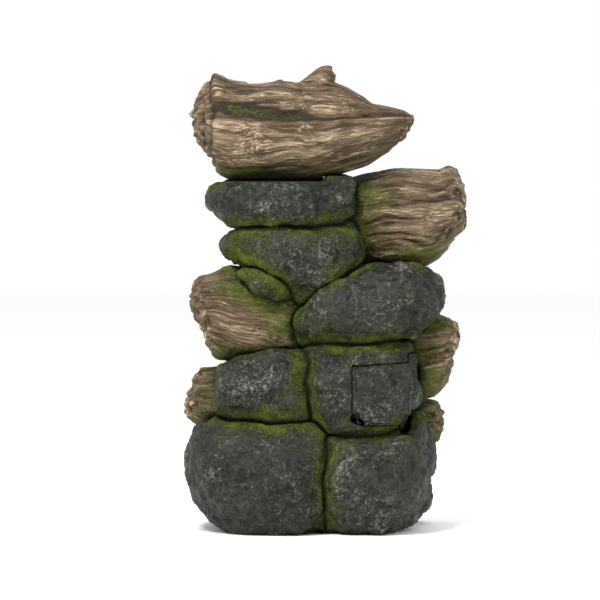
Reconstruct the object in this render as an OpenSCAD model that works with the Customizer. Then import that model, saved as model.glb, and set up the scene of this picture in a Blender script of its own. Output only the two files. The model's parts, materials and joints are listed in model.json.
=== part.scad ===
// Cascading log-and-rock water fountain: a hollow cast-resin stack with a lift-off top log,
// a push-fit pump door and a small submersible pump in the reservoir.
// X runs across the back, +Y points to the cascade side, -Y is the side with the door, Z is up.

/* [Overall size] */
// Width over the widest log ends
body_w = 244; // [200:1:300]
// Depth from the back of the base to the front rim of the basin
body_d = 184; // [170:1:220]
// Height from the table to the tip of the branch stub
body_h = 400; // [330:1:480]

/* [Casting] */
// Thickness of the cast resin wall
wall = 6.5; // [5.5:0.1:8]
// Thickness of the reservoir's floor
floor_t = 6; // [4:0.5:9]
// Thickness of the pads under the base
pad_t = 1; // [0.5:0.1:2]
// Radius of one pad
pad_r = 8; // [6:0.5:10]
// Width of the shadow gap under the top log
seam_gap = 1.5; // [1:0.1:3]

/* [Pump door] */
// Thickness of the door panel
door_t = 3.5; // [2.5:0.1:4]
// Clearance round the door
door_gap = 0.7; // [0.4:0.1:1.2]
// Width of the ledge that the door seats on
door_ledge = 3; // [2:0.5:5]
// Radius of the cord notch in the door's corner
notch_r = 11; // [8:0.5:13]

/* [Pump] */
// Width of the motor block
pump_w = 40; // [34:1:44]
// Length of the motor block
pump_len = 26; // [24:1:30]
// Height of the motor block
pump_h = 34; // [31:1:38]
// Radius of the impeller
impeller_r = 11; // [9:0.5:11.5]
// Number of impeller vanes
vanes = 6; // [4:1:8]
// Radius of the rotor magnet
magnet_r = 7; // [6:0.2:7.5]
// Radius of the ceramic shaft
shaft_r = 1; // [0.8:0.1:1.4]
// Radial running clearance of the rotor on its shaft
run_gap = 0.05; // [0.03:0.01:0.1]

/* [Riser tube] */
// Outer radius of the riser tube
tube_r = 6; // [5:0.5:7]
// Inner radius of the riser tube
tube_bore_r = 4.5; // [3.5:0.1:4.8]
// Angle of the tube's two bends
bend = 35; // [28:1:40]

/* [Hidden] */
e = 0.01;

// The outlines and stations below are drawn for this nominal size and stretched to the body's.
fx = body_w / 244;
fy = body_d / 184;
fz = body_h / 400;
function at(p) = [p[0] * fx, p[1] * fy, p[2] * fz];

// ---- rounded shapes ----------------------------------------------------------------------
function catmull(a, b, c, d, t) =
    0.5 * (2 * b + (c - a) * t + (2 * a - 5 * b + 4 * c - d) * t * t
    + (3 * b - a - 3 * c + d) * t * t * t);
function smooth_loop(p, steps) = let (n = len(p))
    [for (i = [0:n - 1]) for (s = [0:steps - 1])
        catmull(p[(i + n - 1) % n], p[i], p[(i + 1) % n], p[(i + 2) % n], s / steps)];
// moves a clockwise outline outwards by d
function grown(p, d) = let (n = len(p))
    [for (i = [0:n - 1]) let (t = p[(i + 1) % n] - p[(i + n - 1) % n], l = norm(t))
        p[i] + d * [-t[1], t[0]] / l];

// the skin of a body made of closed rings with a point at each end
module ringed(rings, first, last) {
    n = len(rings[0]);
    m = len(rings);
    points = concat([first], [for (r = rings) for (p = r) p], [last]);
    caps = [for (j = [0:n - 1]) let (k = (j + 1) % n)
        each [[0, 1 + j, 1 + k], [n * m + 1, n * (m - 1) + 1 + k, n * (m - 1) + 1 + j]]];
    sides = [for (i = [0:m - 2]) for (j = [0:n - 1])
        let (k = (j + 1) % n, a = 1 + i * n, b = a + n)
            each [[a + j, b + k, a + k], [a + j, b + j, b + k]]];
    polyhedron(points, concat(caps, sides));
}

// A boulder: [centre, [depth to the back, depth to the front], outline seen from the back].
boulder_rings = 7;
boulder_power = 0.8; // under 1 makes the boulder fuller than an ellipsoid
module boulder(rock, d = 0, steps = 2, rings = boulder_rings) {
    c = at(rock[0]);
    loop = grown(smooth_loop([for (p = rock[2]) [p[0] * fx, p[1] * fz]], steps), d);
    back = rock[1][0] * fy + d;
    front = rock[1][1] * fy + d;
    function ring(a) = let (k = pow(cos(a), boulder_power),
        y = (a < 0 ? -back : front) * pow(abs(sin(a)), boulder_power))
        [for (p = loop) [c[0] + k * (p[0] - c[0]), c[1] + y, c[2] + k * (p[1] - c[2])]];
    ringed([for (i = [1:rings]) ring(-90 + 180 * i / (rings + 1))],
        [c[0], c[1] - back, c[2]], [c[0], c[1] + front, c[2]]);
}

// A log along X: stations of [x, centre y, centre z, half depth, half height].
log_sides = 20;
log_lobes = 0.035; // how far the section strays from an ellipse
module log_body(stations, d = 0, sides = log_sides) {
    first = stations[0][0];
    last = stations[len(stations) - 1][0];
    mid = (first + last) / 2 * fx;
    shrink = 1 + d / (abs(last - first) / 2 * fx);
    way = sign(last - first);
    function ring(s) = [for (j = [0:sides - 1])
        let (a = way * 360 * j / sides,
            lobe = 1 + log_lobes * (sin(3 * a + 2 * s[0]) + sin(5 * a - 3 * s[0])))
            [mid + (s[0] * fx - mid) * shrink,
            s[1] * fy + max(s[3] * fy + d, 1) * lobe * cos(a),
            s[2] * fz + max(s[4] * fz + d, 1) * lobe * sin(a)]];
    rings = [for (s = stations) ring(s)];
    function centre(s, out) = [mid + (s[0] * fx - mid) * shrink + out, s[1] * fy, s[2] * fz];
    ringed(rings, centre(stations[0], -way), centre(stations[len(stations) - 1], way));
}

// ---- the cast boulders -------------------------------------------------------------------
cap_spec = [[-38, -12, 282], [50, 56],
    [[-105, 284], [-95, 296], [-76, 306], [-30, 311], [17, 310], [28, 295], [27, 275],
    [11, 258], [-30, 256], [-73, 257], [-89, 264], [-97, 275]]];
neck_spec = [[-30, -12, 232], [48, 52],
    [[-89, 243], [-85, 257], [-68, 268], [-26, 273], [20, 268], [35, 248], [34, 226],
    [14, 206], [-14, 187], [-38, 195], [-58, 211], [-76, 225], [-85, 234]]];
wedge_spec = [[-54, -30, 212], [30, 26],
    [[-79, 222], [-70, 230], [-54, 228], [-34, 213], [-27, 199], [-45, 196], [-64, 204],
    [-75, 213]]];
oval_spec = [[43, -20, 194], [52, 58],
    [[-36, 180], [-14, 205], [12, 221], [41, 230], [69, 231], [91, 224], [105, 207],
    [101, 191], [85, 175], [62, 160], [29, 150], [-20, 154]]];
mid_spec = [[-55, -25, 121], [52, 52],
    [[-98, 122], [-97, 136], [-85, 149], [-56, 155], [-14, 160], [6, 140], [2, 105],
    [-14, 88], [-56, 86], [-86, 94], [-96, 107]]];
door_spec = [[32, -24, 118], [58, 38],
    [[-30, 121], [-30, 150], [-8, 168], [25, 168], [57, 168], [77, 159], [84, 140],
    [84, 121], [78, 104], [71, 86], [57, 74], [29, 70], [-2, 76], [-24, 96]]];
base_left_spec = [[-54, -6, 44], [86, 70],
    [[-122, 60], [-119, 75], [-111, 90], [-95, 101], [-60, 108], [-10, 108], [16, 94],
    [24, 50], [22, 4], [-4, -22], [-62, -22], [-89, 0], [-106, 15], [-114, 30], [-119, 46]]];
base_right_spec = [[42, -6, 42], [84, 68],
    [[-24, 44], [-22, 74], [-4, 96], [36, 98], [68, 98], [85, 103], [93, 80], [97, 60],
    [94, 48], [88, 37], [86, 24], [78, 11], [64, -4], [46, -22], [4, -22], [-20, 4]]];
basin_left_spec = [[-52, 60, 24], [38, 32],
    [[-106, 26], [-98, 50], [-74, 64], [-40, 67], [-8, 62], [6, 40], [6, 6], [-14, -18],
    [-60, -20], [-94, -4]]];
basin_right_spec = [[42, 58, 24], [36, 32],
    [[-8, 30], [2, 56], [28, 68], [62, 66], [86, 52], [95, 28], [86, 4], [62, -16],
    [20, -18], [-6, 2]]];

// ---- the cast logs -----------------------------------------------------------------------
tier_2_spec = [[121, -6, 271, 15, 13], [117, -5, 279, 28, 26], [109, -4, 281, 37, 33],
    [100, -2, 270, 41, 39], [85, 1, 267, 43, 43], [60, 8, 269, 45, 43], [34, 18, 267, 42, 40],
    [10, 30, 264, 37, 36], [-15, 42, 260, 33, 31], [-23, 45, 259, 28, 25]];
tier_3_spec = [[-116, -22, 200, 14, 8], [-112, -21, 201, 25, 15], [-106, -19, 198, 33, 22],
    [-100, -17, 190, 38, 30], [-93, -15, 184, 41, 38], [-84, -12, 184, 43, 42],
    [-60, -8, 182, 44, 43], [-30, -4, 180, 43, 42], [-10, 8.4, 177, 44, 38], [2, 20.6, 177, 40, 33],
    [13, 34, 177, 34, 26]];
tier_4_spec = [[113, -4, 165, 12, 7], [109, -3, 164, 24, 17], [103, -1, 152, 32, 33],
    [94, 2, 148, 36, 39], [75, 10, 145, 38, 37], [48, 26, 136, 38, 31], [28, 37, 130, 36, 26],
    [12, 44, 124, 32, 22], [3, 47, 123, 27, 18]];
tier_5_spec = [[-119, -8, 104, 10, 6], [-115, -7, 106, 21, 17], [-109, -5, 111, 29, 26.4],
    [-95, 1, 110, 33, 28], [-70, 14, 102, 34, 26.6], [-40, 34, 90.6, 32, 22.4], [-12, 48, 83, 29, 19],
    [8, 55, 80, 27, 17], [18, 57, 79, 22, 14]];
basin_log_spec = [[100, 26, 91, 20, 14], [97, 27, 91, 29, 18], [90, 29, 90, 34, 20],
    [78, 32, 88, 36, 21], [66, 34, 86, 30, 18], [58, 35, 85, 18, 11]];
top_spec = [[-119, 0, 356, 12, 10], [-116, 0, 355, 22, 18], [-110, 0, 354, 33, 28],
    [-103, 0, 354, 40, 38], [-92, -1, 348, 43, 43], [-80, -2, 343, 44, 44],
    [-62, -2, 341, 45, 45], [-40, -2, 343, 46, 47], [-20, -2, 341, 45, 45], [0, -2, 343, 43, 44],
    [17, -2, 345, 39, 37], [38, -3, 340.5, 34, 26.5], [55, -4, 345, 26, 19], [68, -5, 350, 15, 11],
    [76, -5, 354, 4, 3]];

// ---- water route -------------------------------------------------------------------------
// each trough is a round-bottomed cut: [start, end, radius]; the end runs out of the log
top_trough = [[-55, 15, 374], [16, 15, 374], 17];
top_lip = [[20, 15, 370], [29, 60, 366], 11];
tier_troughs = [[[70, 24, 300], [-34, 54, 285], 17], [[-66, 15, 214], [26, 45, 197], 17],
    [[76, 25, 172], [-10, 54, 139], 15], [[-74, 27, 120], [32, 59, 95], 14]];
basin_centre = [-8, 45];
basin_half = [70, 30];
basin_corner_r = 24;
basin_floor = 24;
drain_r = 5;
drain_xs = [-34, -12, 10];
drain_z = 32;

// ---- seam under the top log --------------------------------------------------------------
seam_z = [302 * fz, 306.6 * fz]; // underside of the log, left and right of its step
step_x = -0.5 * fx;

// ---- pump and tube places ----------------------------------------------------------------
cast_z = pad_t;
pond_z = cast_z + floor_t;
cup_h = 5;
pump_x = 30 * fx;
pump_rear_y = -5 * fy;
motor_y = pump_rear_y - pump_len;
pump_z = pond_z + cup_h;
axis_z = pump_z + pump_h / 2;
chamber_len = 12;
chamber_y = motor_y - chamber_len;
skin = 1.6; // wall of the pump's thin mouldings
chamber_side = 2 * impeller_r + 10;
chamber_r = impeller_r + 2;
nipple_r = tube_bore_r - run_gap;
nipple_y = motor_y - 5.5;
nipple_top = axis_z + chamber_side / 2 + 14;
tube_start = [pump_x, nipple_y, nipple_top - 11];
tube_end = [-30 * fx, 8 * fy, 336 * fz];
spigot_r = 14;
spigot_h = 6;
fitting_r = tube_r + 2.5;
fitting_neck_r = tube_r + 0.5;
fitting_foot = tube_end[2] - 16;

// the tube's two equal bends, joined at their middle
shift = [tube_end[0] - tube_start[0], tube_end[1] - tube_start[1]];
shift_way = atan2(shift[1], shift[0]);
// the tube leans further where the set angle would take its bends below the pump's nipple
lean = max(bend, 2 * atan(norm(shift) / (seam_z[0] - 8 - tube_start[2])));
bend_r = norm(shift) / (2 * (1 - cos(lean)));
bend_h = 2 * bend_r * sin(lean);
bend_z = seam_z[0] - 2 - bend_h;
function tube_at(t) = t < 0.5
    ? let (a = 2 * t * lean) [bend_r * (1 - cos(a)), bend_r * sin(a)]
    : let (a = 2 * (1 - t) * lean) [norm(shift) - bend_r * (1 - cos(a)), bend_h - bend_r * sin(a)];
function tube_point(t) = let (p = tube_at(t))
    [tube_start[0] + p[0] * cos(shift_way), tube_start[1] + p[0] * sin(shift_way), bend_z + p[1]];

// ---- hollows -----------------------------------------------------------------------------
passage_r = tube_r + 5;
module ball(p, r) {
    translate(at(p)) sphere(r, $fn = 16);
}
module trough(t, d = 0) {
    hull() {
        ball(t[0], t[2] + d);
        ball(t[1], t[2] + d);
    }
}
module basin(d = 0) {
    hull()
        for (sx = [-1, 1]) for (sy = [-1, 1])
            translate([(basin_centre[0] + sx * (basin_half[0] - basin_corner_r)) * fx,
                (basin_centre[1] + sy * (basin_half[1] - basin_corner_r)) * fy,
                basin_floor * fz - d])
                cylinder(r = basin_corner_r + d, h = 90 * fz, $fn = 32);
}
module drains() {
    for (x = drain_xs)
        translate([x * fx, -16 * fy, drain_z * fz])
            rotate([-90, 0, 0]) cylinder(r = drain_r, h = 36 * fy, $fn = 20);
}
// the way up the stack, clear of the tube along its whole route
passage_steps = 9;
module passage() {
    for (i = [0:passage_steps - 1])
        hull() {
            translate(tube_point(i / passage_steps)) sphere(passage_r, $fn = 10);
            translate(tube_point((i + 1) / passage_steps)) sphere(passage_r, $fn = 10);
        }
}
// room that joins the two base rocks and the rocks above them: [x, y, z, half x, half y]
core_spec = [[-4, -28, 0, 50, 28], [-4, -28, 66, 50, 28], [6, -26, 110, 42, 24],
    [0, -20, 160, 34, 22], [-16, -14, 215, 30, 20], [-30, -12, 286, 34, 18]];
module core() {
    for (i = [0:len(core_spec) - 2])
        hull()
            for (s = [core_spec[i], core_spec[i + 1]])
                translate([s[0] * fx, s[1] * fy, s[2] * fz])
                    scale([s[3] * fx, s[4] * fy, 1]) cylinder(r = 1, h = 1, $fn = 14);
}
hollow_rocks = [cap_spec, neck_spec, oval_spec, mid_spec, door_spec, base_left_spec, base_right_spec];
hollow_logs = [tier_2_spec, tier_3_spec, tier_4_spec];
module cavity() {
    difference() {
        union() {
            for (r = hollow_rocks) boulder(r, -wall, 1, 5);
            for (l = hollow_logs) log_body(l, -wall, 10);
            core();
            passage();
        }
        for (t = tier_troughs) trough(t, wall);
        basin(wall);
        translate([-300, -300, cap_top[0] - wall]) cube([600, 600, 90]);
        translate([-300, -300, -90]) cube([600, 600, 90 + pond_z]);
    }
}

// ---- castings ----------------------------------------------------------------------------
// the stack's castings in the order in which they were laid up: each is cut round those before it
ROCK = 0;
LOG = 1;
stack = [[ROCK, door_spec], [LOG, tier_2_spec], [LOG, tier_3_spec], [LOG, tier_4_spec],
    [LOG, tier_5_spec], [LOG, basin_log_spec], [ROCK, cap_spec], [ROCK, neck_spec],
    [ROCK, oval_spec], [ROCK, wedge_spec], [ROCK, mid_spec], [ROCK, base_left_spec],
    [ROCK, base_right_spec], [ROCK, basin_left_spec], [ROCK, basin_right_spec]];
cap_top = [seam_z[0] - seam_gap, seam_z[1] - seam_gap];

module solid_shape(s, d = 0) {
    if (s[0] == ROCK) boulder(s[1], d);
    else log_body(s[1], d);
}
module top_shape(d = 0) {
    log_body(top_spec, d);
    // the broken branch and the shoulder behind it
    hull() {
        translate(at([-20, -8, 374])) sphere(9 + d, $fn = 14);
        translate(at([-2, -9, 392])) sphere(6.5 + d, $fn = 14);
    }
    hull() {
        translate(at([3, -9, 394.15])) sphere(6 + d, $fn = 14);
        translate(at([-3, -9, 386])) sphere(8 + d, $fn = 14);
    }
    hull() {
        translate(at([8, -8, 376])) sphere(7 + d, $fn = 14);
        translate(at([34, -8, 367])) sphere(6 + d, $fn = 14);
    }
    // a knot near the left end
    hull() {
        translate(at([-92, -12, 375])) sphere(11 + d, $fn = 14);
        translate(at([-78, -14, 372])) sphere(12 + d, $fn = 14);
    }
}
module below_seam(gap) {
    translate([-200, -150, -1]) cube([200 + step_x + gap, 300, seam_z[0] - gap + 1]);
    translate([step_x + gap - 1, -150, -1]) cube([200, 300, seam_z[1] - gap + 1]);
}
// Stack casting number i.
module casting(i) {
    shape = stack[i];
    is_base = i > 10;
    difference() {
        intersection() {
            solid_shape(shape);
            if (i == 6) below_seam(seam_gap);
        }
        translate([-300, -300, -100]) cube([600, 600, 100 + cast_z]);
        for (j = [0:1:i - 1]) solid_shape(stack[j]);
        cavity();
        for (t = tier_troughs) trough(t);
        if (is_base) {
            basin();
            drains();
        }
        if (i > 0) door_way();
        top_shape(seam_gap);
    }
}

module stack_rock(i) {
    color([0.27, 0.28, 0.26]) casting(i);
}
module stack_log(i) {
    color([0.55, 0.45, 0.33]) casting(i);
}

// a raised bed that the top log's flat underside rests on
module bed(x0, x1, r, top) {
    hull()
        for (x = [x0, x1])
            translate([x * fx, -3 * fy, cap_top[0] - wall])
                cylinder(r = r, h = top - cap_top[0] + wall, $fn = 24);
}
// the collar that the riser tube comes up through, which locates the top log
module cap_rock() {
    color([0.27, 0.28, 0.26]) difference() {
        union() {
            casting(6);
            translate([tube_end[0], tube_end[1], cap_top[0] - wall])
                cylinder(r = spigot_r + 6, h = wall + seam_gap, $fn = 40);
            translate([tube_end[0], tube_end[1], cap_top[0] - wall])
                cylinder(r = spigot_r, h = wall + seam_gap + spigot_h, $fn = 40);
            bed(-76, -11.7, 10, seam_z[0]);
            bed(4.3, 13, 5, seam_z[1]);
        }
        translate([tube_end[0], tube_end[1], cap_top[0] - 3 * wall])
            cylinder(r = tube_r + 2, h = 60, $fn = 40);
        passage();
    }
}

module top_log() {
    color([0.55, 0.45, 0.33]) difference() {
        top_shape();
        below_seam(0);
        trough(top_trough);
        trough(top_lip);
        difference() {
            log_body(top_spec, -wall, 10);
            below_seam(-wall);
            trough(top_trough, wall);
            trough(top_lip, wall);
        }
        translate([tube_end[0], tube_end[1], seam_z[0] - 1])
            cylinder(r = spigot_r + 0.5, h = wall + 3, $fn = 40);
        translate([tube_end[0], tube_end[1], seam_z[0]])
            cylinder(r = fitting_neck_r, h = 80, $fn = 40);
    }
}

// ---- pump door ---------------------------------------------------------------------------
// the door's outline from the back: a panel with a wider flange at its outer edge
door_x = [22, 70, 92];
door_z = [92.5, 144, 147, 154, 86];
module door_outline(d = 0) {
    offset(delta = d)
        polygon([[door_x[0] * fx, door_z[0] * fz], [door_x[0] * fx, door_z[1] * fz],
            [door_x[1] * fx, door_z[2] * fz], [door_x[1] * fx, door_z[3] * fz],
            [door_x[2] * fx, (door_z[3] + 2) * fz], [door_x[2] * fx, door_z[4] * fz],
            [(door_x[1] - 4) * fx, door_z[4] * fz], [(door_x[1] - 4) * fx, door_z[0] * fz]]);
}
door_front = -26; // the panel ends at this plane, on the rock's flank
module door_prism(d = 0) {
    translate([0, door_front * fy + d, 0])
        rotate([90, 0, 0]) linear_extrude(100) door_outline(d);
}
// the room that the door passes through as it is pulled out
module door_way() {
    intersection() {
        door_prism(-door_gap / 2);
        hull()
            for (y = [0, -80]) translate([0, y, 0]) boulder(door_spec, door_gap);
    }
}
module cord_notch(r) {
    translate([door_x[0] * fx, 0, door_z[0] * fz])
        rotate([90, 0, 0]) cylinder(r = r, h = 150, $fn = 40);
}
module door_rock() {
    color([0.27, 0.28, 0.26]) difference() {
        casting(0);
        difference() {
            door_prism();
            boulder(door_spec, -door_t - door_gap);
        }
        door_prism(-door_ledge);
        intersection() {
            door_prism();
            cord_notch(notch_r);
        }
    }
}
// stiffening ribs on the door's inner face, clear of the ledge
rib_h = 2.5;
rib_r = 1;
rib_xs = [38, 48, 58, 68];
rib_zs = [108, 118, 128, 138];
module rib(p, q) {
    hull()
        for (end = [p, q])
            translate([end[0] * fx, -100, end[1] * fz])
                rotate([-90, 0, 0]) cylinder(r = rib_r, h = 90, $fn = 10);
}
module ribs() {
    difference() {
        intersection() {
            union() {
                for (x = rib_xs) rib([x, 98], [x, 139.5]);
                for (z = rib_zs) rib([28, z], [76, z]);
            }
            boulder(door_spec, 0.6 - door_t);
            door_prism(-door_ledge - door_gap);
        }
        boulder(door_spec, -door_t - rib_h);
    }
}
module pump_door() {
    color([0.29, 0.29, 0.28]) difference() {
        union() {
            difference() {
                intersection() {
                    boulder(door_spec);
                    door_prism(-door_gap);
                }
                boulder(door_spec, -door_t);
            }
            ribs();
        }
        cord_notch(notch_r);
    }
}

// ---- pump --------------------------------------------------------------------------------
module along_y(p, r, h, fn = 32) {
    translate(p) rotate([-90, 0, 0]) cylinder(r = r, h = h, $fn = fn);
}
module pump_block(y0, y1, w, h, z0) {
    translate([pump_x - w / 2, y0, z0]) cube([w, y1 - y0, h]);
}
bush_r = 2.2 + shaft_r - 1;
bush_len = 2.5;
well_r = magnet_r + 1;
well_end = pump_rear_y - 5;
cup_xs = pump_w / 2 - 7;
cup_ys = [motor_y + 6, pump_rear_y - 6];
cup_stem_r = 1.5;
gland_at = [pump_x + pump_w / 2 - 9, pump_rear_y - 8];
gland_r = 4;
cable_r = 2.6;
module cup_places() {
    for (sx = [-1, 1]) for (y = cup_ys) translate([pump_x + sx * cup_xs, y, 0]) children();
}
module pump_housing() {
    color([0.08, 0.08, 0.09]) difference() {
        pump_block(motor_y, pump_rear_y, pump_w, pump_h, pump_z);
        along_y([pump_x, motor_y - e, axis_z], well_r, well_end - motor_y + e);
        along_y([pump_x, well_end - e, axis_z], bush_r, bush_len + e);
        cup_places() translate([0, 0, pump_z - e]) cylinder(r = cup_stem_r, h = 3, $fn = 24);
        translate([gland_at[0], gland_at[1], pump_z + pump_h - 4])
            cylinder(r = gland_r, h = 5, $fn = 32);
    }
}
// the volute: impeller room, spoked inlet with the front bearing, and the outlet nipple
front_wall = 2.5;
inlet_r = 6.5;
hub_r = bush_r + 1;
module pump_chamber() {
    color([0.10, 0.10, 0.11]) difference() {
        union() {
            difference() {
                union() {
                    pump_block(chamber_y, motor_y, chamber_side, chamber_side,
                        axis_z - chamber_side / 2);
                    translate([pump_x, nipple_y, axis_z + chamber_r - 1])
                        cylinder(r = nipple_r, h = nipple_top - axis_z - chamber_r + 1, $fn = 32);
                }
                along_y([pump_x, chamber_y + front_wall, axis_z], chamber_r, chamber_len);
                along_y([pump_x, chamber_y - e, axis_z], inlet_r, front_wall + 1);
            }
            along_y([pump_x, chamber_y, axis_z], hub_r, front_wall);
            for (a = [30, 150, 270])
                translate([pump_x, chamber_y, axis_z]) rotate([0, a, 0])
                    translate([0, 0, -0.8]) cube([inlet_r + 1, front_wall, 1.6]);
        }
        along_y([pump_x, chamber_y - e, axis_z], bush_r, front_wall + 1);
        translate([pump_x, nipple_y, axis_z]) cylinder(r = 3, h = 100, $fn = 32);
    }
}
strainer_len = 14;
lap = 2;
cover_gap = 0.3;
strainer_y = chamber_y + lap - strainer_len;
strainer_side = chamber_side + 2 * (cover_gap + skin);
slots = 4;
slot_w = 2.4;
slot_pitch = 4.4;
slot_h = chamber_side * 0.55;
slider_w = slots * slot_pitch * 0.5;
slider_t = 1.4;
rail_gap = 0.25;
module pump_strainer() {
    color([0.08, 0.08, 0.09]) {
        difference() {
            pump_block(strainer_y, chamber_y + lap, strainer_side, strainer_side,
                axis_z - strainer_side / 2);
            pump_block(strainer_y + skin, chamber_y + lap + 1, chamber_side + 2 * cover_gap,
                chamber_side + 2 * cover_gap, axis_z - chamber_side / 2 - cover_gap);
            for (i = [0:slots - 1])
                translate([pump_x - 1 - (slots - 0.5 - i) * slot_pitch / 1.4 + slider_w / 2,
                    strainer_y - 1, axis_z - slot_h / 2])
                    cube([slot_w * 0.8, skin + 2, slot_h]);
            for (sx = [-1, 1]) for (i = [0:2])
                translate([pump_x + sx * strainer_side / 2 - 2, strainer_y + 4 + i * 3, axis_z - 8])
                    cube([4, 1.5, 16]);
        }
        // two lipped rails that hold the slider against the face
        for (s = [-1, 1]) {
            translate([pump_x - strainer_side / 2 + 2, strainer_y - slider_t - rail_gap,
                axis_z + s * (slot_h / 2 + 3) - 0.8])
                cube([strainer_side - 4, slider_t + rail_gap + e, 1.6]);
            translate([pump_x - strainer_side / 2 + 2, strainer_y - slider_t - rail_gap - 1,
                axis_z + s * (slot_h / 2 + 2.6) - 1.2])
                cube([strainer_side - 4, 1.2, 2.4]);
        }
    }
}
slider_travel = strainer_side - 8 - slider_w;
module flow_slider() {
    h = slot_h + 6 - 1.6 - 2 * rail_gap;
    color([0.75, 0.35, 0.08]) {
        translate([pump_x - strainer_side / 2 + 3, strainer_y - slider_t, axis_z - h / 2])
            cube([slider_w, slider_t - 0.1, h]);
        translate([pump_x - strainer_side / 2 + 3 + slider_w / 2 - 1.2,
            strainer_y - slider_t - 3.5, axis_z - 4])
            cube([2.4, 3.6, 8]);
    }
}
magnet_y = motor_y + 1.5;
magnet_len = well_end - 1 - magnet_y;
impeller_y = chamber_y + front_wall + 1;
impeller_t = motor_y - 1.5 - impeller_y;
module impeller() {
    color([0.85, 0.86, 0.84]) difference() {
        union() {
            along_y([pump_x, impeller_y, axis_z], 3.6, magnet_y - impeller_y);
            along_y([pump_x, impeller_y + impeller_t - 1, axis_z], impeller_r, 1);
            for (i = [0:vanes - 1])
                translate([pump_x, impeller_y, axis_z]) rotate([0, i * 360 / vanes, 0])
                    translate([2.5, 0, -0.6]) cube([impeller_r - 3, impeller_t - 0.5, 1.2]);
        }
        along_y([pump_x, impeller_y - 1, axis_z], shaft_r + run_gap, 30);
    }
}
module rotor_magnet() {
    color([0.20, 0.20, 0.22]) difference() {
        along_y([pump_x, magnet_y, axis_z], magnet_r, magnet_len);
        along_y([pump_x, magnet_y - 1, axis_z], shaft_r + run_gap, magnet_len + 2);
    }
}
module pump_shaft() {
    color([0.93, 0.93, 0.90])
        along_y([pump_x, chamber_y + 0.5, axis_z], shaft_r, well_end + bush_len - 0.5 - chamber_y - 0.5);
}
module shaft_bushes() {
    color([0.05, 0.05, 0.05]) difference() {
        union() {
            along_y([pump_x, chamber_y, axis_z], bush_r, bush_len);
            along_y([pump_x, well_end, axis_z], bush_r, bush_len);
        }
        along_y([pump_x, chamber_y + 0.5, axis_z], shaft_r, well_end + bush_len - 1 - chamber_y);
    }
}
module suction_cups() {
    color([0.06, 0.06, 0.06]) cup_places() {
        translate([0, 0, pond_z]) cylinder(r1 = 6, r2 = 3.5, h = 2.5, $fn = 32);
        translate([0, 0, pond_z + 2]) cylinder(r = 2.6, h = cup_h - 2, $fn = 32);
        translate([0, 0, pond_z + 3]) cylinder(r = cup_stem_r, h = cup_h - 0.5, $fn = 32);
    }
}
module cord_gland() {
    color([0.05, 0.05, 0.05]) translate([gland_at[0], gland_at[1], pump_z + pump_h - 4])
        difference() {
            union() {
                cylinder(r = gland_r, h = 4, $fn = 32);
                translate([0, 0, 4]) cylinder(r = gland_r + 1, h = 2, $fn = 32);
                translate([0, 0, 6]) cylinder(r1 = gland_r, r2 = cable_r + 0.7, h = 7, $fn = 32);
            }
            translate([0, 0, 2]) cylinder(r = cable_r, h = 20, $fn = 32);
        }
}

// ---- tube --------------------------------------------------------------------------------
// the tube is swept ring by ring: its outside upwards, then its bore back down
tube_sides = 24;
bend_steps = 7;
function bend_ring(i) = let (n = bend_steps, half = i <= n,
    a = half ? lean * i / n : lean * (2 * n - i) / n,
    out = half ? bend_r * (1 - cos(a)) : norm(shift) - bend_r * (1 - cos(a)),
    up = half ? bend_r * sin(a) : bend_h - bend_r * sin(a))
    [tube_start[0] + out * cos(shift_way), tube_start[1] + out * sin(shift_way), bend_z + up, a];
tube_route = concat([[tube_start[0], tube_start[1], tube_start[2], 0]],
    [for (i = [0:2 * bend_steps]) bend_ring(i)], [[tube_end[0], tube_end[1], tube_end[2], 0]]);
// one ring of radius r at a route point, square to the tube, which leans by the point's angle
function tube_ring(p, r) = [for (j = [0:tube_sides - 1])
    let (t = 360 * j / tube_sides, u = r * cos(t), v = r * sin(t))
        [p[0] + u * cos(p[3]) * cos(shift_way) - v * sin(shift_way),
        p[1] + u * cos(p[3]) * sin(shift_way) + v * cos(shift_way), p[2] - u * sin(p[3])]];
module riser_tube() {
    top = len(tube_route) - 1;
    rings = concat([for (p = tube_route) tube_ring(p, tube_r)],
        [for (i = [top:-1:0]) tube_ring(tube_route[i], tube_bore_r)]);
    n = tube_sides;
    m = len(rings);
    color([0.80, 0.84, 0.84])
        polyhedron([for (r = rings) each r], [for (i = [0:m - 1]) for (j = [0:n - 1])
            let (k = (j + 1) % n, a = i * n, b = ((i + 1) % m) * n)
                each [[a + j, b + k, a + k], [a + j, b + j, b + k]]]);
}
module spout_fitting() {
    color([0.10, 0.10, 0.11]) translate([tube_end[0], tube_end[1], 0]) difference() {
        union() {
            translate([0, 0, fitting_foot]) cylinder(r = fitting_r, h = 22, $fn = 40);
            translate([0, 0, fitting_foot + 21])
                cylinder(r = fitting_neck_r, h = 366 * fz - fitting_foot - 21, $fn = 40);
        }
        translate([0, 0, fitting_foot - 1])
            cylinder(r = tube_r + 0.1, h = tube_end[2] - fitting_foot + 3, $fn = 40);
        translate([0, 0, fitting_foot]) cylinder(r = tube_bore_r, h = 100, $fn = 40);
    }
}
pads = [[-70, -48], [52, -46], [-58, 56], [46, 54]];
module base_pads() {
    color([0.07, 0.07, 0.07])
        for (p = pads) translate([p[0] * fx, p[1] * fy, 0]) cylinder(r = pad_r, h = pad_t, $fn = 48);
}

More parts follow.
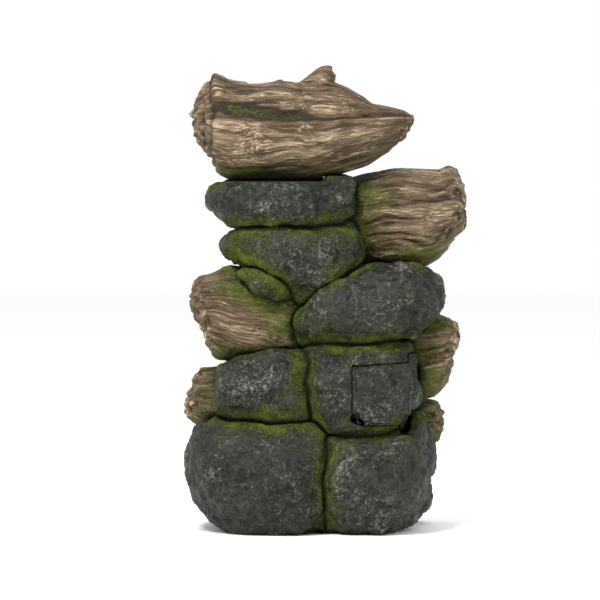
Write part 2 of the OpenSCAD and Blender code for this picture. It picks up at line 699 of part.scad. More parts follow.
door_rock();
stack_log(1);  // log_tier_2
stack_log(2);  // log_tier_3
stack_log(3);  // log_tier_4
stack_log(4);  // log_tier_5
stack_log(5);  // basin_log
cap_rock();
stack_rock(7);  // neck_rock
stack_rock(8);  // oval_rock
stack_rock(9);  // wedge_rock
stack_rock(10);  // mid_rock
stack_rock(11);  // base_rock_left
stack_rock(12);  // base_rock_right
stack_rock(13);  // basin_rock_left
stack_rock(14);  // basin_rock_right
top_log();
pump_door();
pump_housing();
pump_chamber();
pump_strainer();
flow_slider();
impeller();
rotor_magnet();
pump_shaft();
shaft_bushes();
suction_cups();
cord_gland();
riser_tube();
spout_fitting();
base_pads();
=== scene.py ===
import json
import math
import bpy
import bmesh
import numpy as np
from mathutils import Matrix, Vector
from mathutils.bvhtree import BVHTree

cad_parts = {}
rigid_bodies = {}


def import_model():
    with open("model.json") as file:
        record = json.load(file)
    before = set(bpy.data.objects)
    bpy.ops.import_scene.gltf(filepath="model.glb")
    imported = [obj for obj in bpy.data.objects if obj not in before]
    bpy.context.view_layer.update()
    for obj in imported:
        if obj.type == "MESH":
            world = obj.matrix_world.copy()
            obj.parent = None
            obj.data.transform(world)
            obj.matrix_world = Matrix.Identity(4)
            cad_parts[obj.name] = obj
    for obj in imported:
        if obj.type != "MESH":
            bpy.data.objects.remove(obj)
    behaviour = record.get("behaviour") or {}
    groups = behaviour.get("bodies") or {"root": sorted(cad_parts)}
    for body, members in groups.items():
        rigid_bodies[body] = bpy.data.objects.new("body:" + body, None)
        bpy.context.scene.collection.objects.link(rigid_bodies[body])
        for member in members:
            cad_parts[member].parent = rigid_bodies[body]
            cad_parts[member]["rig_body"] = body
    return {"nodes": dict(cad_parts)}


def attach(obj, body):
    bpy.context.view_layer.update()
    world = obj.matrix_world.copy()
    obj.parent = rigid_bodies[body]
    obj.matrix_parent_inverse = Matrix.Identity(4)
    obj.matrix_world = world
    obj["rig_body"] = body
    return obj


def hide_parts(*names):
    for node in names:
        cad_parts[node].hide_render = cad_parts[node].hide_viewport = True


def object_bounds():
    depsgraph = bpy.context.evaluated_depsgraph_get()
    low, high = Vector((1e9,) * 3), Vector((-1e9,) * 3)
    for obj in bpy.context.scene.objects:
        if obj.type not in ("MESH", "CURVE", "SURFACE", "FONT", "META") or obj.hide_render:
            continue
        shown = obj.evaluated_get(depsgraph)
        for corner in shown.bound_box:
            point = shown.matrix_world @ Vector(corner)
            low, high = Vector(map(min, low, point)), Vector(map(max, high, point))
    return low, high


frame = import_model()
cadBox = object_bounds()
nodes = frame["nodes"]
print("stage 1: frame loaded,", len(nodes), "nodes")

# what a user may change
stone = {
    "voxel": 0.0015,       # spacing of the sculpted surface
    "relaxRounds": 34,     # softens the casting's flat spots
    "valley": 5.2, "valleyReach": 7.0,     # mm, how far the creases sink in
    "lump": 3.2, "lumpSize": 27,
    "dent": 1.9, "dentSize": 17,
    "skin": 0.5, "skinSize": 4.4,
    "mossReach": 0.016,
}
driftwood = {
    "voxel": 0.0013,
    "relaxRounds": 30,
    "valley": 5.2, "valleyReach": 7.0,     # mm
    "flute": 2.3, "fluteSize": 15, "fluteLength": 130,
    "crack": 1.5, "crackSize": 6.5, "crackLength": 95,
    "fibre": 0.4, "fibreSize": 2.2, "fibreLength": 42,
    "spongeDepth": 2.6, "spongeSize": 6.5,
    "mossReach": 0.030,
}
doorPanel = dict(stone, voxel=0.0010, relaxRounds=60)
doorSeat = dict(stone, voxel=0.0011, relaxRounds=55)

# each log's grain runs from its broken outer end to its inner end
logAxes = {
    "top_log": ((-0.116, 0.000, 0.350), (0.079, -0.005, 0.354)),
    "log_tier_2": ((0.121, -0.006, 0.272), (-0.023, 0.045, 0.259)),
    "log_tier_3": ((-0.116, -0.020, 0.195), (0.013, 0.034, 0.177)),
    "log_tier_4": ((0.113, -0.004, 0.155), (0.003, 0.047, 0.123)),
    "log_tier_5": ((-0.119, -0.008, 0.108), (0.018, 0.057, 0.079)),
    "basin_log": ((0.100, 0.026, 0.091), (0.058, 0.035, 0.085)),
}
rockNames = ["cap_rock", "neck_rock", "wedge_rock", "oval_rock", "mid_rock",
             "base_rock_left", "base_rock_right", "basin_rock_left", "basin_rock_right"]
castNames = rockNames + list(logAxes) + ["door_rock", "pump_door"]
seamFlats = (0.300, 0.3075)      # between them lie the flat faces of the top log's seam
seamLines = (0.302, 0.3066)      # the two heights of the stepped seam
doorCentre = (0.057, -0.06, 0.12)
creaseLimit = 0.045              # m, how far a neighbouring casting is looked for
wander = {"size": 21, "depth": 0.0021}     # mm and m, the slow bend shared by all creases


def latticeValue(x, y, z, seed):
    h = ((x * 73856093) ^ (y * 19349663) ^ (z * 83492791) ^ (seed * 2654435761)) & 0xFFFFFFFF
    for _ in range(2):
        h = (((h >> 16) ^ h) * 0x45D9F3B) & 0xFFFFFFFF
    h = (h >> 16) ^ h
    return (h & 0xFFFF) / 32767.5 - 1


def softNoise(points, seed):
    # one octave, from -1 to 1
    cell = np.floor(points).astype(np.int64)
    part = points - cell
    part = part ** 3 * (part * (part * 6 - 15) + 10)
    total = np.zeros(len(points))
    for corner in range(8):
        step = [(corner >> k) & 1 for k in range(3)]
        share = np.ones(len(points))
        for k in range(3):
            share = share * (part[:, k] if step[k] else 1 - part[:, k])
        total += share * latticeValue(*(cell[:, k] + step[k] for k in range(3)), seed)
    return total


def layered(points, seed, octaves=2, gain=0.5):
    total, level, size = 0, 1.0, 1.0
    for k in range(octaves):
        total = total + level * softNoise(points * size + 17.3 * k, seed + k)
        level *= gain
        size *= 2.03
    return total


def ramp(value, low, high):
    t = np.clip((value - low) / (high - low), 0, 1)
    return t * t * (3 - 2 * t)


def mergedMesh(name):
    mesh = nodes[name].data.copy()
    bm = bmesh.new()
    bm.from_mesh(mesh)
    bmesh.ops.remove_doubles(bm, verts=bm.verts, dist=1e-6)
    bm.to_mesh(mesh)
    bm.free()
    return mesh


def treeOf(meshes):
    points, faces = [], []
    for mesh in meshes:
        base = len(points)
        points += [v.co.copy() for v in mesh.vertices]
        faces += [[base + i for i in p.vertices] for p in mesh.polygons]
    return BVHTree.FromPolygons(points, faces)


def evenCopy(name, voxel):
    # a copy of the casting with small even faces
    rough = bpy.data.objects.new(name + "Rough", plainMeshes[name].copy())
    bpy.context.scene.collection.objects.link(rough)
    remesh = rough.modifiers.new("even", "REMESH")
    remesh.mode = "VOXEL"
    remesh.voxel_size = voxel
    graph = bpy.context.evaluated_depsgraph_get()
    mesh = bpy.data.meshes.new_from_object(rough.evaluated_get(graph))
    bpy.data.objects.remove(rough)
    return mesh


def pointsOf(mesh):
    co = np.empty(len(mesh.vertices) * 3)
    mesh.vertices.foreach_get("co", co)
    return co.reshape(-1, 3)


def normalsOf(mesh):
    n = np.empty(len(mesh.vertices) * 3)
    mesh.vertex_normals.foreach_get("vector", n)
    return n.reshape(-1, 3)


def setPoints(mesh, co):
    mesh.vertices.foreach_set("co", co.ravel())
    mesh.update()


def edgesOf(mesh):
    e = np.empty(len(mesh.edges) * 2, dtype=np.int32)
    mesh.edges.foreach_get("vertices", e)
    return e.reshape(-1, 2)


def relaxed(value, edges, weight, rounds):
    n = len(value)
    a, b = edges.T
    count = np.bincount(a, minlength=n) + np.bincount(b, minlength=n)
    for _ in range(rounds):
        mean = np.stack([np.bincount(a, value[b, k], n) + np.bincount(b, value[a, k], n)
                         for k in range(value.shape[1])], 1) / count[:, None]
        value = value + (mean - value) * (0.8 * weight)[:, None]
    return value


def gapTo(tree, co, limit):
    # distance from each point to the nearest neighbouring casting
    out = np.full(len(co), limit)
    find = tree.find_nearest
    for i, p in enumerate(co):
        hit = find(p, limit)
        if hit[3] is not None:
            out[i] = hit[3]
    return out


def opennessOf(co, normals):
    # the share of a few outward rays that leave the object
    outward = co * (1, 1, 0)
    outward /= np.maximum(np.linalg.norm(outward, axis=1), 1e-6)[:, None]
    up = np.array([0, 0, 1.0])
    cast = wholeTree.ray_cast
    free = np.zeros(len(co))
    start = co + normals * 0.0020
    rays = [normals, outward + normals * 0.3, normals + outward * 0.6, normals + up * 0.7]
    for ray in rays:
        for i in range(len(co)):
            if cast(start[i], ray[i], 0.5)[0] is None:
                free[i] += 1
    return free / len(rays)


def stoneRelief(p, look, seed):
    warp = np.stack([softNoise(p / 19 + 5 * k, seed + 40 + k) for k in range(3)], 1)
    lump = layered(p / look["lumpSize"], 11, 3)
    q = (p + warp * 5) / look["dentSize"]
    dent = 0.6 - 1.6 * np.abs(layered(q, 23, 2))
    fine = (p + warp * 2.5) / look["skinSize"] * (1, 1, 1.35)
    skin = 0.6 - 1.5 * np.abs(layered(fine, 31, 2, 0.6))
    height = look["lump"] * lump + look["dent"] * dent + look["skin"] * skin
    tint = 0.5 + 0.16 * dent + 0.34 * skin + 0.16 * lump
    return height, tint


def grainFrame(name, co):
    # millimetres along the log, and a place round it that the tapering grain follows
    start, end = (np.array(v) for v in logAxes[name])
    axis = (end - start) / np.linalg.norm(end - start)
    side = np.cross(axis, (0, 0, 1.0))
    side /= np.linalg.norm(side)
    rise = np.cross(side, axis)
    rel = (co - start) * 1000
    along = rel @ axis
    ring = np.stack([rel @ side, rel @ rise], 1)
    reach = np.linalg.norm(ring, axis=1)
    ring = ring / np.maximum(reach, 0.5)[:, None] * 38
    return axis, along, ring


def barkRelief(name, co, normals, look):
    p = co * 1000
    axis, along, ring = grainFrame(name, co)
    seed = 50 + list(logAxes).index(name) * 7
    sway = np.stack([layered(p / 42 + 9 * k, seed + k) for k in range(2)], 1)
    ring = ring + sway * 3.4

    def streaks(size, length, number, octaves=2):
        q = np.concatenate([along[:, None] / length, ring / size], 1)
        return layered(q, seed + number, octaves)

    flute = streaks(look["fluteSize"], look["fluteLength"], 3)
    crackLine = streaks(look["crackSize"], look["crackLength"], 4)
    crack = np.exp(-(crackLine / 0.13) ** 2) * ramp(flute, 0.25, -0.15)
    ridge = streaks(look["crackSize"] * 0.62, look["crackLength"] * 0.7, 5)
    fibre = streaks(look["fibreSize"], look["fibreLength"], 6, 1)
    side = (look["flute"] * flute - look["crack"] * crack + 0.85 * ridge
            + look["fibre"] * fibre)
    sideTint = 0.52 + 0.22 * ridge + 0.14 * flute + 0.26 * fibre - 0.42 * crack
    # broken ends are spongy
    facing = np.abs(normals @ axis)
    broken = ramp(facing, 0.55, 0.85)
    pit = layered(p / look["spongeSize"], seed + 8, 2, 0.6)
    chip = 0.7 - 1.6 * np.abs(layered(p / 11, seed + 9, 2))
    sponge = look["spongeDepth"] * pit + 1.2 * chip + 2.6 * layered(p / 15, seed + 10, 1)
    endTint = 0.42 + 0.45 * pit + 0.15 * chip
    height = side * (1 - broken) + sponge * broken
    tint = sideTint * (1 - broken) + endTint * broken
    grain = np.concatenate([along[:, None], ring], 1)
    return height, tint, broken, grain


def topLogDetail(co, height, tint):
    # the bark's raised rim at the left end with a gully behind it, and the long mossy groove; the
    # gully and the groove get painted shade in the tint
    x, y, z = co.T
    x = x + 0.0030 * softNoise(co * 75, 72)
    rim = np.exp(-((x + 0.0925) / 0.0040) ** 2)
    core = ramp(-x, 0.0950, 0.0990)
    height = height + 1.8 * rim - 5.5 * core
    # a lighter rim, and a line of painted shade along the gully behind it
    tint = tint + 0.2 * rim - 0.4 * np.exp(-((x + 0.0985) / 0.003) ** 2)
    grooveZ = 0.3555 + (-0.026 - x) * 0.12
    wobble = 0.0012 * softNoise(co * 90, 71)
    groove = (np.exp(-((z - grooveZ + wobble) / 0.0066) ** 4) * ramp(-x, -0.005, 0.035)
              * ramp(x, -0.099, -0.094) * (y < 0))
    height = height - 3.4 * groove
    # painted shade in the groove, darkest in its upper half
    tint = tint - (0.75 - 0.4 * ramp(grooveZ - z, 0.000, 0.005)) * groove
    return height, tint, groove


def seamFade(co, low, high):
    # 0 at the seam's two heights, 1 away from them
    return ramp(np.min([np.abs(co[:, 2] - z) for z in seamLines], axis=0), low, high)


def sculpted(name, look):
    mesh = evenCopy(name, look["voxel"])
    co = pointsOf(mesh)
    edges = edgesOf(mesh)
    others = [n for n in castNames if n != name]
    touching = gapTo(treeOf([plainMeshes[n] for n in others]), co, creaseLimit)
    pair = {"door_rock", "pump_door"}
    crease = touching
    if name in pair:
        crease = gapTo(treeOf([plainMeshes[n] for n in others if n not in pair]), co,
                       creaseLimit)
    away = ramp(touching, 0.0012, 0.006)
    seamFace = ((co[:, 2] > seamFlats[0] - 0.0015) & (co[:, 2] < seamFlats[1] + 0.0015)
                & (np.abs(normalsOf(mesh)[:, 2]) > 0.9))
    away = away * (1 - seamFace)
    away = relaxed(away[:, None], edges, np.ones(len(co)), 2)[:, 0]
    # openness also sets where the material paints shade into enclosed recesses
    openness = opennessOf(co, normalsOf(mesh))
    openness = relaxed(openness[:, None], edges, np.ones(len(co)), 3)[:, 0]
    co = relaxed(co, edges, away, look["relaxRounds"])
    # every casting sinks by the same rule near a crease, so the joints stay shut
    seam = seamFade(co, 0.003, 0.010)
    radial = co * (1, 1.2, 0)
    radial /= np.maximum(np.linalg.norm(radial, axis=1), 0.01)[:, None]
    sink = look["valley"] * np.exp(-(crease * 1000 / look["valleyReach"]) ** 1.5) * seam
    co = co - radial * (sink * 0.001)[:, None]
    # one slow wander moves all castings alike, so the creases aren't ruled lines
    far = ramp(np.linalg.norm((co - doorCentre) * (1, 0.5, 1), axis=1), 0.040, 0.065)
    hold = seam * far * ramp(co[:, 2], 0.002, 0.012) * (name != "top_log")
    drift = np.stack([layered(co * 1000 / wander["size"] + 31 * k, 400 + k, 2)
                      for k in range(3)], 1)
    co = co + drift * (wander["depth"] * hold)[:, None]
    setPoints(mesh, co)
    normals = normalsOf(mesh)
    shown = ramp(openness, 0.05, 0.3)
    if name in logAxes:
        height, tint, broken, grain = barkRelief(name, co, normals, look)
    else:
        height, tint = stoneRelief(co * 1000, look, 7)
        broken = np.zeros(len(co))
        grain = co * 1000
    groove = np.zeros(len(co))
    if name == "top_log":
        height, tint, groove = topLogDetail(co, height, tint)
    seam = seamFade(co, 0.001, 0.006)
    lift = 0.0004 + height * 0.001
    co = co + normals * (lift * away * shown * (0.15 + 0.85 * seam))[:, None]
    # moss gathers in the creases and grows over them in small tufts
    moss = np.exp(-np.maximum(crease - 0.001, 0) / look["mossReach"])
    moss = (moss * (1 + 0.35 * softNoise(co * 1000 / 26, 95))
            * (0.6 + 0.4 * ramp(co[:, 2], 0.01, 0.07)))
    moss = np.maximum(moss, groove * 0.52)
    tuft = layered(co * 1000 / 2.6, 90, 2)
    co = co + normals * (0.00045 * tuft * ramp(moss, 0.35, 0.7) * away * shown)[:, None]
    # points that would pass the CAD box are moved back onto it
    low, high = (np.array(v) for v in cadBox)
    co = np.clip(co, low, high)
    setPoints(mesh, co)
    for label, values in (("tint", tint), ("crease", crease * 1000), ("moss", moss),
                          ("broken", broken), ("openness", openness)):
        mesh.attributes.new(label, "FLOAT", "POINT").data.foreach_set(
            "value", np.asarray(values, dtype=np.float32))
    mesh.attributes.new("grain", "FLOAT_VECTOR", "POINT").data.foreach_set(
        "vector", np.asarray(grain, dtype=np.float32).ravel())
    piece = bpy.data.objects.new(name + "Cast", mesh)
    bpy.context.scene.collection.objects.link(piece)
    mesh.polygons.foreach_set("use_smooth", [True] * len(mesh.polygons))
    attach(piece, nodes[name]["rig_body"])
    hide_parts(name)
    print("   ", name, len(mesh.polygons) * 2, "triangles")
    return piece


plainMeshes = {n: mergedMesh(n) for n in castNames}
wholeTree = treeOf(plainMeshes.values())
looks = {n: stone for n in rockNames}
looks.update({n: driftwood for n in logAxes}, door_rock=doorSeat, pump_door=doorPanel)
casts = {n: sculpted(n, looks[n]) for n in castNames}
print("stage 2: castings sculpted")


def addNode(tree, kind, inputs=None, **settings):
    node = tree.nodes.new(kind)
    for key, value in settings.items():
        setattr(node, key, value)
    for key, value in (inputs or {}).items():
        if isinstance(value, bpy.types.NodeSocket):
            tree.links.new(value, node.inputs[key])
        else:
            node.inputs[key].default_value = value
    return node


def mathNode(tree, operation, a, b, c=0.0):
    return addNode(tree, "ShaderNodeMath", {0: a, 1: b, 2: c}, operation=operation).outputs[0]


def mixColour(tree, factor, a, b, blend="MIX"):
    node = addNode(tree, "ShaderNodeMix", data_type="RGBA", blend_type=blend)
    for key, value in ((0, factor), (6, a), (7, b)):
        if isinstance(value, bpy.types.NodeSocket):
            tree.links.new(value, node.inputs[key])
        else:
            node.inputs[key].default_value = value
    return node.outputs[2]


def mapRange(tree, value, low, high, toLow=0.0, toHigh=1.0):
    inputs = {"Value": value, "From Min": low, "From Max": high, "To Min": toLow, "To Max": toHigh}
    node = addNode(tree, "ShaderNodeMapRange", inputs, interpolation_type="SMOOTHSTEP")
    return node.outputs[0]


def noiseNode(tree, vector, scale, detail=3.0, roughness=0.55, distortion=0.0):
    node = addNode(tree, "ShaderNodeTexNoise", {"Vector": vector, "Scale": scale, "Detail": detail,
                                                "Roughness": roughness, "Distortion": distortion})
    return node.outputs["Fac"]


def attributeNode(tree, label, output="Fac"):
    return addNode(tree, "ShaderNodeAttribute", attribute_name=label).outputs[output]


def newGroup(label, inputs, outputs):
    group = bpy.data.node_groups.new(label, "ShaderNodeTree")
    for name, kind, value in inputs:
        made = group.interface.new_socket(name, in_out="INPUT", socket_type=kind)
        if value is not None:
            made.default_value = value
    for name, kind in outputs:
        group.interface.new_socket(name, in_out="OUTPUT", socket_type=kind)
    given = group.nodes.new("NodeGroupInput").outputs
    return group, given, group.nodes.new("NodeGroupOutput").inputs


def useGroup(tree, group, **inputs):
    node = tree.nodes.new("ShaderNodeGroup")
    node.node_tree = group
    for key, value in inputs.items():
        key = key.replace("_", " ")
        if isinstance(value, bpy.types.NodeSocket):
            tree.links.new(value, node.inputs[key])
        else:
            node.inputs[key].default_value = value
    return node.outputs


floatKind, colourKind, vectorKind = "NodeSocketFloat", "NodeSocketColor", "NodeSocketVector"


def mossAndShadeGroup():
    # sprayed moss: speckled green that thins out from the creases, then near-black in the deepest
    # creases (partly dark joint paint, partly painted shade) and painted shade where the surface is
    # enclosed
    group, given, out = newGroup(
        "mossAndPaintedShade",
        [("Color", colourKind, (0.1, 0.1, 0.1, 1)), ("Vector", vectorKind, None),
         ("Moss", floatKind, 0.0), ("Crease", floatKind, 30.0), ("Openness", floatKind, 1.0),
         ("Amount", floatKind, 1.0)],
        [("Color", colourKind), ("Mask", floatKind), ("Height", floatKind)])
    speck = noiseNode(group, given["Vector"], 620, 3, 0.7)
    cloud = noiseNode(group, given["Vector"], 46, 3, 0.55)
    hue = noiseNode(group, given["Vector"], 95, 2, 0.6)
    cover = mathNode(group, "MULTIPLY", given["Moss"], given["Amount"])
    cover = mathNode(group, "ADD", cover,
                     mathNode(group, "MULTIPLY", mathNode(group, "SUBTRACT", cloud, 0.5), 0.9))
    cover = mathNode(group, "ADD", cover,
                     mathNode(group, "MULTIPLY", mathNode(group, "SUBTRACT", speck, 0.5), 0.95))
    mask = mapRange(group, cover, 0.34, 0.74)
    green = mixColour(group, mapRange(group, hue, 0.35, 0.68), (0.022, 0.029, 0.004, 1),
                      (0.070, 0.090, 0.007, 1))
    green = mixColour(group, mapRange(group, speck, 0.48, 0.72), green, (0.125, 0.150, 0.013, 1))
    ragged = mathNode(group, "MULTIPLY_ADD", speck, 7.0,
                      mathNode(group, "SUBTRACT", given["Crease"], 3.5))
    # near-black in the deepest creases: partly dark joint paint, partly painted shade
    creaseJointAndShade = mapRange(group, ragged, 0.6, 5.4, 1.0, 0.0)
    # painted shade in enclosed recesses, where few outward rays leave the surface
    recessShade = mapRange(group, given["Openness"], 0.05, 0.5, 0.6, 0.0)
    jointPaintAndShade = mathNode(group, "MAXIMUM", creaseJointAndShade, recessShade)
    colour = mixColour(group, mathNode(group, "MULTIPLY", mask, 0.86), given["Color"], green)
    colour = mixColour(group, mathNode(group, "MULTIPLY", jointPaintAndShade, 0.88), colour,
                       (0.006, 0.007, 0.004, 1))
    group.links.new(colour, out["Color"])
    group.links.new(mask, out["Mask"])
    group.links.new(mathNode(group, "MULTIPLY", mask, speck), out["Height"])
    return group


def dryBrushGroup():
    # pale paint dragged over the high spots
    group, given, out = newGroup(
        "dryBrush",
        [("Color", colourKind, (0.1, 0.1, 0.1, 1)), ("Paint", colourKind, (0.5, 0.5, 0.5, 1)),
         ("Relief", floatKind, 0.5), ("Texture", floatKind, 0.5), ("Patch", floatKind, 0.5),
         ("Amount", floatKind, 0.7)],
        [("Color", colourKind), ("Mask", floatKind)])
    high = mathNode(group, "MULTIPLY_ADD", given["Relief"], 0.55, -0.30)
    texture = mathNode(group, "MULTIPLY", mathNode(group, "SUBTRACT", given["Texture"], 0.5), 2.3)
    patch = mathNode(group, "MULTIPLY", mathNode(group, "SUBTRACT", given["Patch"], 0.5), 1.3)
    total = mathNode(group, "ADD", mathNode(group, "ADD", high, texture), patch)
    mask = mathNode(group, "MULTIPLY", mapRange(group, total, 0.12, 0.72), given["Amount"])
    group.links.new(mixColour(group, mask, given["Color"], given["Paint"]), out["Color"])
    group.links.new(mask, out["Mask"])
    return group


# the moss group also paints shade into the creases and enclosed recesses
moss = mossAndShadeGroup()
dryBrush = dryBrushGroup()


def newMaterial(label):
    material = bpy.data.materials.new(label)
    material.use_nodes = True
    tree = material.node_tree
    return material, tree, tree.nodes["Principled BSDF"]


def objectPlace(tree):
    return addNode(tree, "ShaderNodeTexCoord").outputs["Object"]


def bump(tree, height, strength, distance, normal=None):
    inputs = {"Height": height, "Strength": strength, "Distance": distance}
    if normal is not None:
        inputs["Normal"] = normal
    return addNode(tree, "ShaderNodeBump", inputs).outputs["Normal"]


def paintedStone(label, mossAmount):
    material, tree, shader = newMaterial(label)
    place = objectPlace(tree)
    tint = attributeNode(tree, "tint")
    crease = attributeNode(tree, "crease")
    wrinkle = noiseNode(tree, place, 330, 6, 0.72, 1.1)
    grit = noiseNode(tree, place, 1100, 3, 0.7)
    broad = noiseNode(tree, place, 17, 3, 0.6)
    warm = noiseNode(tree, place, 38, 3, 0.6)
    patch = noiseNode(tree, place, 27, 2, 0.5)
    base = mixColour(tree, mapRange(tree, broad, 0.35, 0.66), (0.009, 0.0105, 0.007, 1),
                     (0.019, 0.021, 0.0145, 1))
    base = mixColour(tree, mapRange(tree, warm, 0.54, 0.75, 0, 0.5), base,
                     (0.032, 0.024, 0.015, 1))
    base = mixColour(tree, mapRange(tree, wrinkle, 0.34, 0.52, 0.85, 0.0), base,
                     (0.003, 0.004, 0.003, 1))
    base = mixColour(tree, mapRange(tree, tint, 0.05, 0.5, 0.75, 0.0), base,
                     (0.003, 0.0035, 0.003, 1))
    washed = useGroup(tree, dryBrush, Color=base, Paint=(0.054, 0.056, 0.043, 1), Relief=tint,
                      Texture=wrinkle, Patch=0.66, Amount=0.8)
    brushed = useGroup(tree, dryBrush, Color=washed["Color"], Paint=(0.235, 0.235, 0.20, 1),
                       Relief=tint, Texture=wrinkle, Patch=patch, Amount=0.7)
    mossedAndShaded = useGroup(tree, moss, Color=brushed["Color"], Vector=place,
                       Moss=attributeNode(tree, "moss"), Crease=crease,
                       Openness=attributeNode(tree, "openness"), Amount=mossAmount)
    tree.links.new(mossedAndShaded["Color"], shader.inputs["Base Color"])
    rough = mapRange(tree, wrinkle, 0.3, 0.7, 0.44, 0.62)
    rough = mathNode(tree, "MAXIMUM", rough, mapRange(tree, mossedAndShaded["Mask"], 0.1, 0.8, 0.4, 0.95))
    tree.links.new(rough, shader.inputs["Roughness"])
    shader.inputs["Specular IOR Level"].default_value = 0.2
    skin = bump(tree, wrinkle, 0.55, 0.0011)
    skin = bump(tree, grit, 0.3, 0.0004, skin)
    tree.links.new(bump(tree, mossedAndShaded["Height"], 0.8, 0.0010, skin), shader.inputs["Normal"])
    return material


def paintedWood(label):
    material, tree, shader = newMaterial(label)
    place = objectPlace(tree)
    grain = attributeNode(tree, "grain", "Vector")
    tint = attributeNode(tree, "tint")
    broken = attributeNode(tree, "broken")
    fibrePlace = addNode(tree, "ShaderNodeMapping", {"Vector": grain, "Scale": (0.055, 1.1, 1.1)})
    strandPlace = addNode(tree, "ShaderNodeMapping", {"Vector": grain, "Scale": (0.016, 0.42, 0.42)})
    fibre = noiseNode(tree, fibrePlace.outputs[0], 1.0, 4, 0.7, 0.3)
    strand = noiseNode(tree, strandPlace.outputs[0], 1.0, 4, 0.65, 0.3)
    sponge = noiseNode(tree, place, 300, 4, 0.7, 0.6)
    broad = noiseNode(tree, place, 24, 3, 0.6)
    texture = mixColour(tree, broken, fibre, sponge)
    base = mixColour(tree, mapRange(tree, broad, 0.36, 0.64), (0.092, 0.058, 0.031, 1),
                     (0.155, 0.107, 0.063, 1))
    base = mixColour(tree, mapRange(tree, strand, 0.40, 0.52, 0.75, 0.0), base,
                     (0.042, 0.025, 0.012, 1))
    base = mixColour(tree, mapRange(tree, texture, 0.38, 0.52, 0.8, 0.0), base,
                     (0.050, 0.030, 0.015, 1))
    # near-black where tint is low: the wash in cracks and pits, and the painted shade of the top
    # log's groove and gully
    base = mixColour(tree, mapRange(tree, tint, 0.0, 0.42, 0.9, 0.0), base,
                     (0.016, 0.010, 0.005, 1))
    washed = useGroup(tree, dryBrush, Color=base, Paint=(0.220, 0.160, 0.098, 1), Relief=tint,
                      Texture=strand, Patch=0.6, Amount=0.8)
    brushed = useGroup(tree, dryBrush, Color=washed["Color"], Paint=(0.56, 0.44, 0.29, 1),
                       Relief=tint, Texture=texture, Patch=0.6, Amount=0.85)
    mossPlace = addNode(tree, "ShaderNodeMapping", {"Vector": grain,
                                                    "Scale": (0.00035, 0.0011, 0.0011)})
    mossedAndShaded = useGroup(tree, moss, Color=brushed["Color"], Vector=mossPlace.outputs[0],
                       Moss=attributeNode(tree, "moss"), Crease=attributeNode(tree, "crease"),
                       Openness=attributeNode(tree, "openness"), Amount=0.8)
    tree.links.new(mossedAndShaded["Color"], shader.inputs["Base Color"])
    tree.links.new(mapRange(tree, strand, 0.3, 0.7, 0.78, 0.6), shader.inputs["Roughness"])
    shader.inputs["Specular IOR Level"].default_value = 0.25
    skin = bump(tree, strand, 0.8, 0.0018)
    skin = bump(tree, texture, 0.9, 0.0010, skin)
    tree.links.new(bump(tree, mossedAndShaded["Height"], 0.7, 0.0009, skin), shader.inputs["Normal"])
    return material


def moulded(label, colour, roughness, speckle=0.0, grainScale=900, bumpDepth=0.00008):
    # an injection-moulded or rubber surface: fine grain, slight wear and uneven sheen
    material, tree, shader = newMaterial(label)
    place = objectPlace(tree)
    fine = noiseNode(tree, place, grainScale, 2, 0.5)
    wide = noiseNode(tree, place, 60, 3, 0.6)
    pale = tuple(min(1, c * 1.35 + 0.012) for c in colour[:3]) + (1,)
    tone = mixColour(tree, mapRange(tree, wide, 0.4, 0.7, 0, 0.6 + speckle), colour, pale)
    tree.links.new(tone, shader.inputs["Base Color"])
    tree.links.new(mapRange(tree, wide, 0.3, 0.7, roughness - 0.06, roughness + 0.08),
                   shader.inputs["Roughness"])
    tree.links.new(bump(tree, fine, 0.35, bumpDepth), shader.inputs["Normal"])
    return material


def clearVinyl(label):
    material, tree, shader = newMaterial(label)
    place = objectPlace(tree)
    haze = noiseNode(tree, place, 120, 3, 0.6)
    tree.links.new(mixColour(tree, haze, (0.78, 0.84, 0.84, 1), (0.88, 0.90, 0.86, 1)),
                   shader.inputs["Base Color"])
    tree.links.new(mapRange(tree, haze, 0.3, 0.7, 0.14, 0.3), shader.inputs["Roughness"])
    shader.inputs["Transmission Weight"].default_value = 0.75
    shader.inputs["IOR"].default_value = 1.45
    return material


rockPaint = paintedStone("rockPaint", 1.0)
doorPaint = paintedStone("doorPaint", 0.8)
woodPaint = paintedWood("woodPaint")
for name, piece in casts.items():
    piece.data.materials.clear()
    piece.data.materials.append(
        doorPaint if name == "pump_door" else woodPaint if name in logAxes else rockPaint)

finishes = {
    "blackMoulding": moulded("blackMoulding", (0.016, 0.016, 0.018, 1), 0.42),
    "coverMoulding": moulded("coverMoulding", (0.022, 0.023, 0.026, 1), 0.36, 0.1, 1300),
    "orangeMoulding": moulded("orangeMoulding", (0.62, 0.16, 0.025, 1), 0.38),
    "nylon": moulded("nylon", (0.70, 0.71, 0.67, 1), 0.4, 0.1),
    "ferrite": moulded("ferrite", (0.045, 0.045, 0.05, 1), 0.33, 0.3, 1600),
    "ceramicRod": moulded("ceramicRod", (0.83, 0.83, 0.79, 1), 0.18, 0.0, 2200, 0.00002),
    "rubber": moulded("rubber", (0.014, 0.014, 0.014, 1), 0.68, 0.2, 700, 0.00015),
    "vinyl": clearVinyl("vinyl"),
}
worn = {
    "pump_housing": "blackMoulding", "pump_chamber": "coverMoulding",
    "pump_strainer": "blackMoulding", "flow_slider": "orangeMoulding", "impeller": "nylon",
    "rotor_magnet": "ferrite", "pump_shaft": "ceramicRod", "shaft_bushes": "rubber",
    "suction_cups": "rubber", "cord_gland": "rubber", "riser_tube": "vinyl",
    "spout_fitting": "coverMoulding", "base_pads": "rubber",
}
for name, finish in worn.items():
    node = nodes[name]
    node.data.materials.clear()
    node.data.materials.append(finishes[finish])
print("stage 3: materials made")

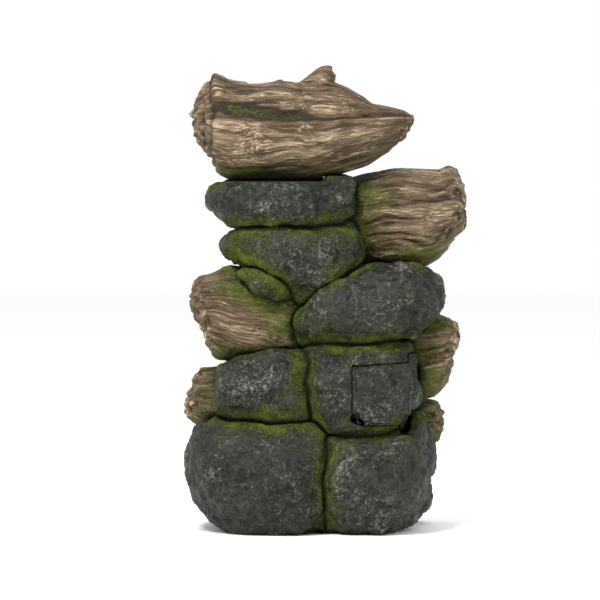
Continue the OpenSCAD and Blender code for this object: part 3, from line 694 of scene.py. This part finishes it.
studio = {
    "aim": (-0.0218, 0.0, 0.1976), "distance": 4.0, "elevation": 2.0, "frameWidth": 0.5187,
    "floorColour": (0.95, 0.95, 0.945, 1), "worldLight": 1.0,
}


def areaLight(label, place, size, power, target=(0, 0, 0.2)):
    data = bpy.data.lights.new(label, "AREA")
    data.shape = "DISK"
    data.size = size
    data.energy = power
    lamp = bpy.data.objects.new(label, data)
    lamp.location = place
    lamp.rotation_euler = (Vector(target) - Vector(place)).to_track_quat("-Z", "Y").to_euler()
    bpy.context.scene.collection.objects.link(lamp)


areaLight("keyLight", (-0.6, -1.2, 1.9), 0.6, 46)
areaLight("fillLight", (1.5, -1.2, 0.8), 1.3, 7)
areaLight("backLight", (0.4, 1.6, 1.5), 1.4, 10)

bm = bmesh.new()
bmesh.ops.create_grid(bm, x_segments=2, y_segments=2, size=6)
floorMesh = bpy.data.meshes.new("floor")
bm.to_mesh(floorMesh)
bm.free()
floor = bpy.data.objects.new("floor", floorMesh)
bpy.context.scene.collection.objects.link(floor)
floorPaint, floorTree, floorShader = newMaterial("floorPaint")
floorShader.inputs["Base Color"].default_value = studio["floorColour"]
floorShader.inputs["Roughness"].default_value = 0.9
floorMesh.materials.append(floorPaint)

world = bpy.data.worlds.new("studio")
world.use_nodes = True
world.node_tree.nodes["Background"].inputs["Color"].default_value = (1, 1, 1, 1)
world.node_tree.nodes["Background"].inputs["Strength"].default_value = studio["worldLight"]
bpy.context.scene.world = world
bpy.context.scene.view_settings.view_transform = "Standard"

tilt = math.radians(studio["elevation"])
aim = Vector(studio["aim"])
camera = bpy.data.objects.new("camera", bpy.data.cameras.new("camera"))
camera.location = aim + Vector((0, -math.cos(tilt), math.sin(tilt))) * studio["distance"]
camera.rotation_euler = (aim - camera.location).to_track_quat("-Z", "Y").to_euler()
camera.data.sensor_width = 36
camera.data.lens = 36 * studio["distance"] / studio["frameWidth"]
bpy.context.scene.collection.objects.link(camera)
bpy.context.scene.camera = camera
print("stage 4: studio set")
